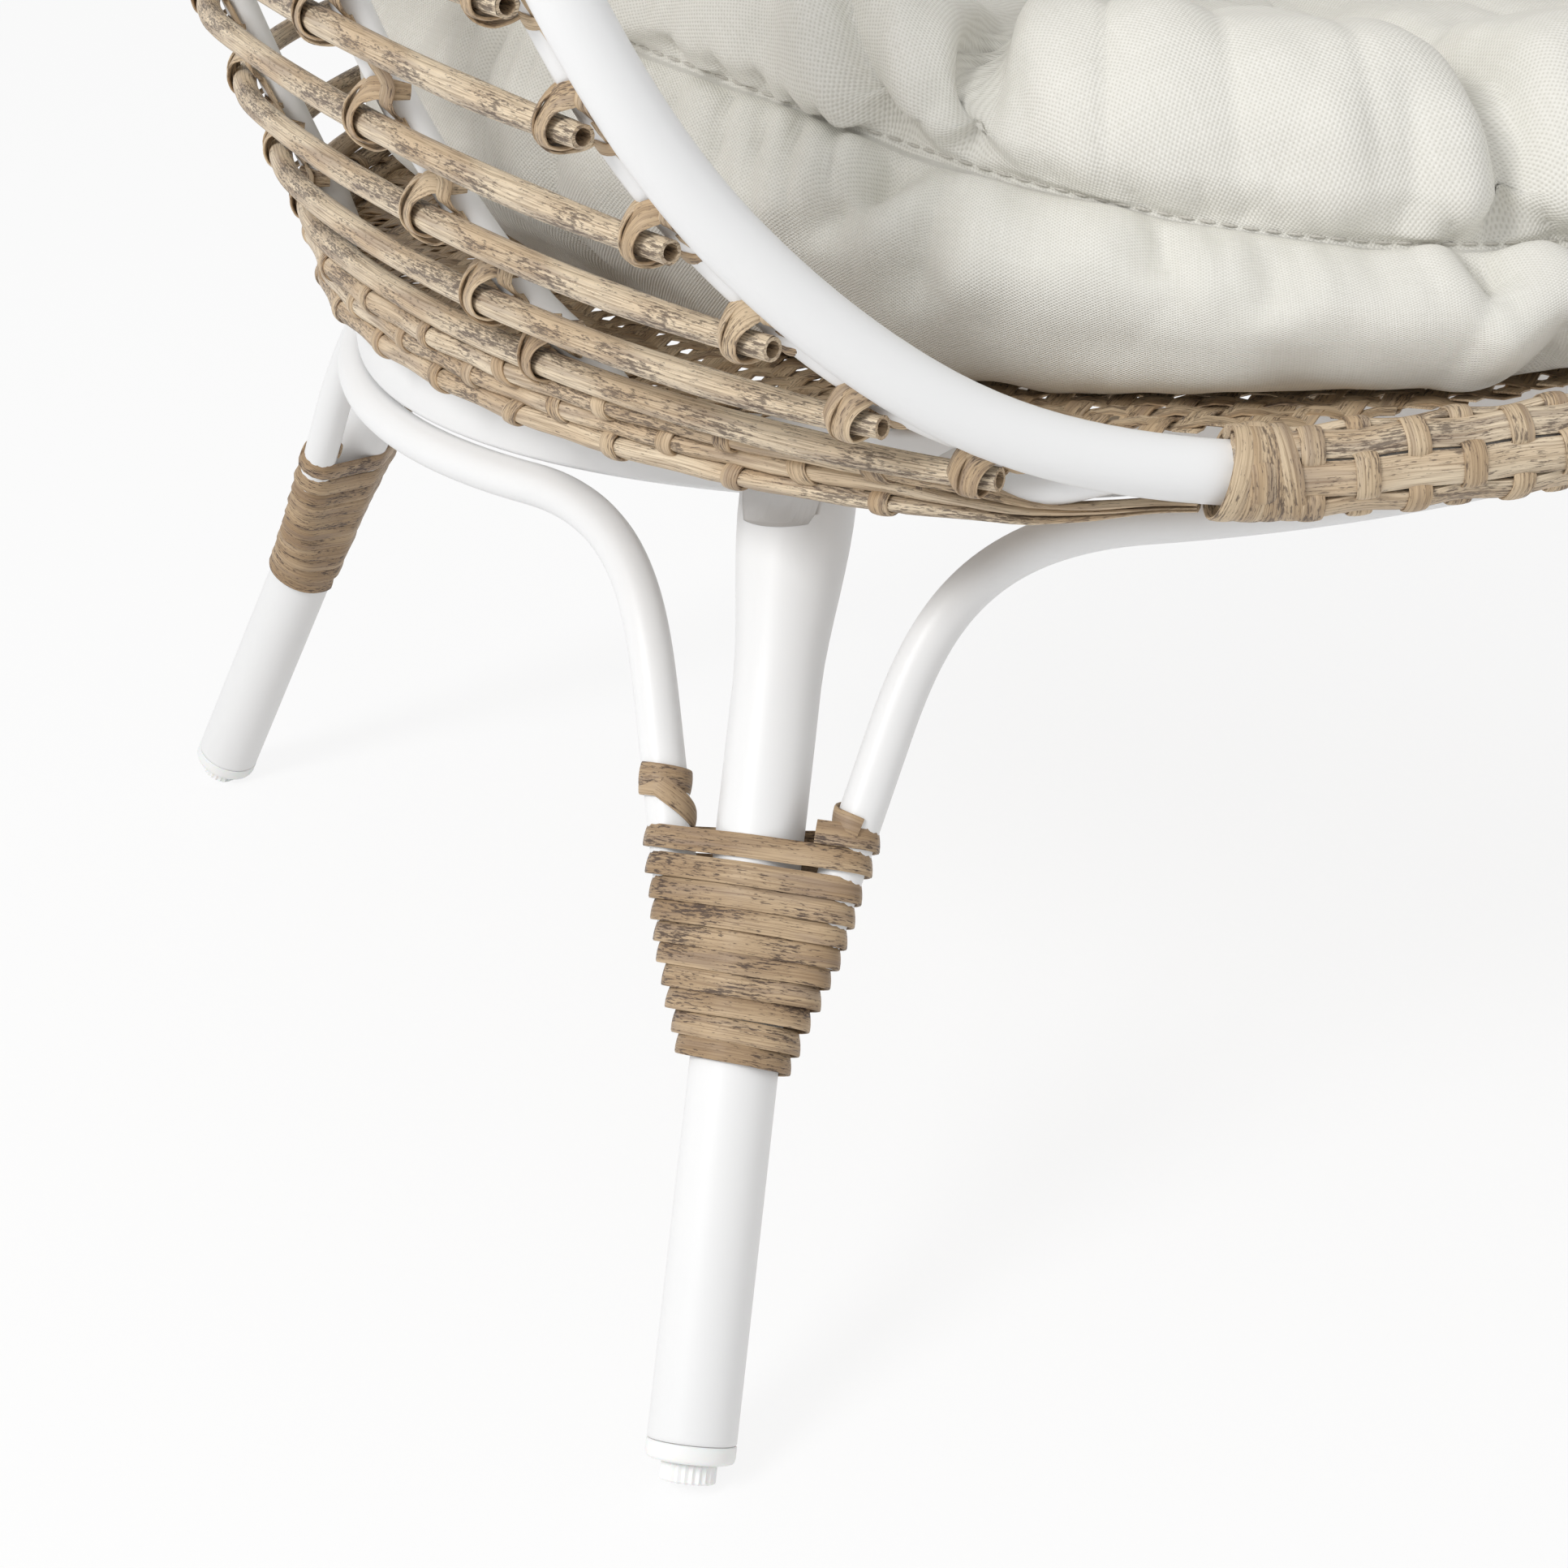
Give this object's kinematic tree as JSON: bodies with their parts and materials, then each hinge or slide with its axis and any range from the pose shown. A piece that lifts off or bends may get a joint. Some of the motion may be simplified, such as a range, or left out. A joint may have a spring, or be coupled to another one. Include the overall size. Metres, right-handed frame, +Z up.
{
  "type": "egg chair",
  "caption": "Standing egg chair: woven rattan lattice shell on a white tube frame with splayed, arched legs, a round seat cushion and a tall back cushion.",
  "frame": {"origin": "on the floor, under the middle of the chair's outline in plan", "axes": "+X is the sitter's left-to-right width, -Y the open front, +Z up"},
  "size_m": [0.8944, 0.913, 1.4434],
  "materials": {
    "white_frame": "satin white powder coat",
    "rattan": "tan synthetic rattan with brown flecks, matt",
    "canvas": "off-white basket-weave canvas",
    "white_plastic": "white moulded plastic, matt",
    "bolt_steel": "bright zinc-plated steel"
  },
  "bodies": {
    "chair": {"leg_ring": "white_frame", "leg_front_left": "white_frame", "leg_front_right": "white_frame", "leg_back_right": "white_frame", "leg_back_left": "white_frame", "leg_cap_front_left": "white_plastic", "leg_cap_front_right": "white_plastic", "leg_cap_back_right": "white_plastic", "leg_cap_back_left": "white_plastic", "leg_binding_front_left": "rattan", "leg_binding_front_right": "rattan", "leg_binding_back_right": "rattan", "leg_binding_back_left": "rattan", "arch_rod_right": "white_frame", "arch_rod_left": "white_frame", "arch_rod_back": "white_frame", "arch_rod_front": "white_frame", "ring_bolt_front_left": "bolt_steel", "ring_bolt_front_right": "bolt_steel", "ring_bolt_back_right": "bolt_steel", "ring_bolt_back_left": "bolt_steel", "rim_tube": "white_frame", "seat_frame": "white_frame", "back_rod_middle": "white_frame", "upright_rod_left_3": "white_frame", "upright_rod_right_3": "white_frame", "upright_rod_left_2": "white_frame", "upright_rod_right_2": "white_frame", "upright_rod_left_1": "white_frame", "upright_rod_right_1": "white_frame", "edge_rod_left": "white_frame", "edge_rod_right": "white_frame", "strand_01": "rattan", "strand_02": "rattan", "strand_03": "rattan", "strand_04": "rattan", "strand_05": "rattan", "strand_06": "rattan", "strand_07": "rattan", "strand_08": "rattan", "strand_09": "rattan", "strand_10": "rattan", "strand_11": "rattan", "strand_12": "rattan", "strand_13": "rattan", "strand_14": "rattan", "strand_15": "rattan", "strand_16": "rattan", "strand_17": "rattan", "strand_18": "rattan", "strand_19": "rattan", "base_band": "rattan", "front_lip": "rattan", "woven_tray": "rattan", "seat_cushion": "canvas", "back_cushion": "canvas"},
    "foot_front_left": {"levelling_foot_front_left": "white_plastic"},
    "foot_front_right": {"levelling_foot_front_right": "white_plastic"},
    "foot_back_right": {"levelling_foot_back_right": "white_plastic"},
    "foot_back_left": {"levelling_foot_back_left": "white_plastic"}
  },
  "joints": [
    {"name": "foot_front_left_screw", "type": "slide", "parent": "chair", "child": "foot_front_left", "axis": [-0.3551, -0.3782, -0.8549], "range_m": [0, 0.01]},
    {"name": "foot_front_right_screw", "type": "slide", "parent": "chair", "child": "foot_front_right", "axis": [0.3551, -0.3782, -0.8549], "range_m": [0, 0.01]},
    {"name": "foot_back_right_screw", "type": "slide", "parent": "chair", "child": "foot_back_right", "axis": [0.3551, 0.3782, -0.8549], "range_m": [0, 0.01]},
    {"name": "foot_back_left_screw", "type": "slide", "parent": "chair", "child": "foot_back_left", "axis": [-0.3551, 0.3782, -0.8549], "range_m": [0, 0.01]}
  ]
}
